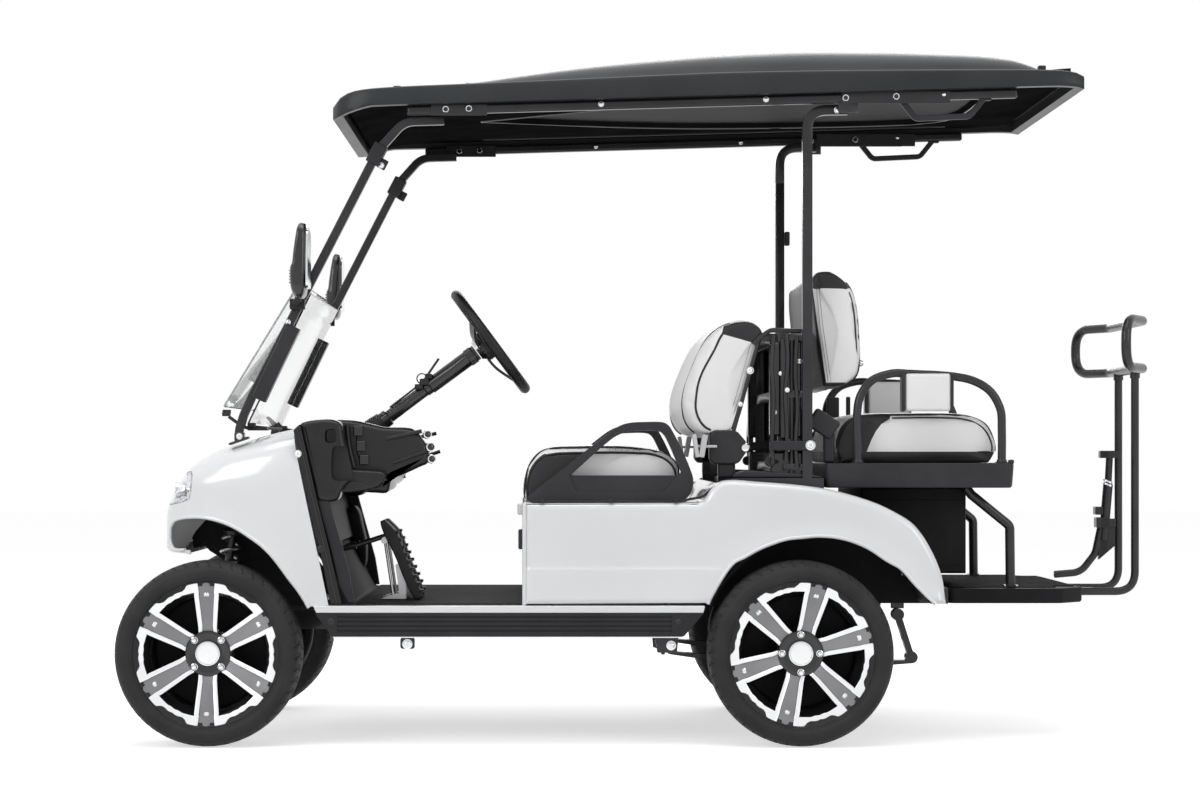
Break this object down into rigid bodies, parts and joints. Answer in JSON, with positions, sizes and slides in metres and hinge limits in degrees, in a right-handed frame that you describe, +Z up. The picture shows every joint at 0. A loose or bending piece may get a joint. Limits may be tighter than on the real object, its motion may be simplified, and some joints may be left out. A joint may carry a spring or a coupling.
{
  "type": "golf cart",
  "caption": "Lifted electric golf cart with a front bench, a rear-facing seat with foot plate, a full roof, alloy wheels and working steering.",
  "frame": {"origin": "on the ground at the middle of the cart's length and width", "axes": "+Z up, the front of the cart toward -X, its left side toward -Y"},
  "size_m": [3.0006, 1.34, 2.046],
  "materials": {
    "white_body": "gloss",
    "black_steel": "satin",
    "black_plastic": "satin",
    "roof_black": "satin",
    "tyre": "matte",
    "alloy": "machined",
    "steel": "satin",
    "vinyl": "satin",
    "clear_screen": "clear",
    "lamp_lens": "clear",
    "battery_grey": "matte"
  },
  "bodies": {
    "chassis": {"frame": "black_steel", "front_beam": "black_steel", "front_shock_left": "steel", "front_shock_right": "steel", "rack_housing": "black_steel", "rear_axle": "black_steel", "leaf_spring_left": "black_steel", "leaf_spring_right": "black_steel", "battery_block": "battery_grey", "floor_pan": "black_plastic", "sill_left": "black_plastic", "sill_right": "black_plastic", "front_cowl": "white_body", "headlamp_left": "lamp_lens", "headlamp_right": "lamp_lens", "dash": "black_plastic", "steering_column": "black_steel", "pedals": "black_plastic", "rear_body": "white_body", "rear_liner_left": "black_plastic", "rear_liner_right": "black_plastic", "bench_back": "vinyl", "armrest_left": "black_plastic", "armrest_right": "black_plastic", "rear_frame": "black_steel", "rear_back": "vinyl", "rear_tray": "black_plastic", "storage_box": "black_plastic", "footstep": "black_plastic", "grab_bar": "black_steel", "front_post_left": "black_steel", "front_post_right": "black_steel", "windshield_lower": "clear_screen", "windshield_upper": "clear_screen", "roof": "roof_black", "roof_rail_left": "black_steel", "roof_rail_right": "black_steel"},
    "steering_wheel": {"steering_wheel": "black_plastic"},
    "tie_rods": {"tie_rods": "steel"},
    "knuckle_left": {"knuckle_left": "steel"},
    "knuckle_right": {"knuckle_right": "steel"},
    "front_wheel_left": {"front_tyre_left": "tyre", "front_rim_left": "alloy"},
    "front_wheel_right": {"front_tyre_right": "tyre", "front_rim_right": "alloy"},
    "rear_wheel_left": {"rear_tyre_left": "tyre", "rear_rim_left": "alloy"},
    "rear_wheel_right": {"rear_tyre_right": "tyre", "rear_rim_right": "alloy"},
    "rear_seat": {"rear_cushion": "vinyl"},
    "bench_seat": {"bench_cushion": "vinyl"}
  },
  "joints": [
    {"name": "steering", "type": "hinge", "parent": "chassis", "child": "steering_wheel", "pos_m": [-0.48472, -0.27, 1.1293], "axis": [0.8044, 0, 0.594], "range_deg": [-450, 450]},
    {"name": "rack_travel", "type": "slide", "parent": "chassis", "child": "tie_rods", "axis": [0, 1, 0], "range_m": [-0.0466, 0.0466]},
    {"name": "steer_left", "type": "hinge", "parent": "chassis", "child": "knuckle_left", "pos_m": [-1.2375, -0.47, 0.263], "axis": [0, 0, 1], "range_deg": [-25, 25]},
    {"name": "steer_right", "type": "hinge", "parent": "chassis", "child": "knuckle_right", "pos_m": [-1.2375, 0.47, 0.263], "axis": [0, 0, 1], "range_deg": [-25, 25]},
    {"name": "roll_front_left", "type": "hinge", "parent": "knuckle_left", "child": "front_wheel_left", "pos_m": [-1.2375, -0.545, 0.263], "axis": [0, 1, 0], "continuous": true},
    {"name": "roll_front_right", "type": "hinge", "parent": "knuckle_right", "child": "front_wheel_right", "pos_m": [-1.2375, 0.545, 0.263], "axis": [0, 1, 0], "continuous": true},
    {"name": "roll_rear_left", "type": "hinge", "parent": "chassis", "child": "rear_wheel_left", "pos_m": [0.4425, -0.545, 0.263], "axis": [0, 1, 0], "continuous": true},
    {"name": "roll_rear_right", "type": "hinge", "parent": "chassis", "child": "rear_wheel_right", "pos_m": [0.4425, 0.545, 0.263], "axis": [0, 1, 0], "continuous": true},
    {"name": "bench_seat_lift", "type": "hinge", "parent": "chassis", "child": "bench_seat", "pos_m": [0.1065, 0, 0.6923], "axis": [0, 1, 0], "range_deg": [0, 42]},
    {"name": "rear_seat_lift", "type": "hinge", "parent": "chassis", "child": "rear_seat", "pos_m": [0.5625, 0, 0.8023], "axis": [0, -1, 0], "range_deg": [0, 30]}
  ],
  "couplings": [
    {"joint": "rack_travel", "follows": "steering", "m_per_rad": 0.0059},
    {"joint": "steer_left", "follows": "steering", "ratio": 0.0555},
    {"joint": "steer_right", "follows": "steering", "ratio": 0.0555}
  ]
}
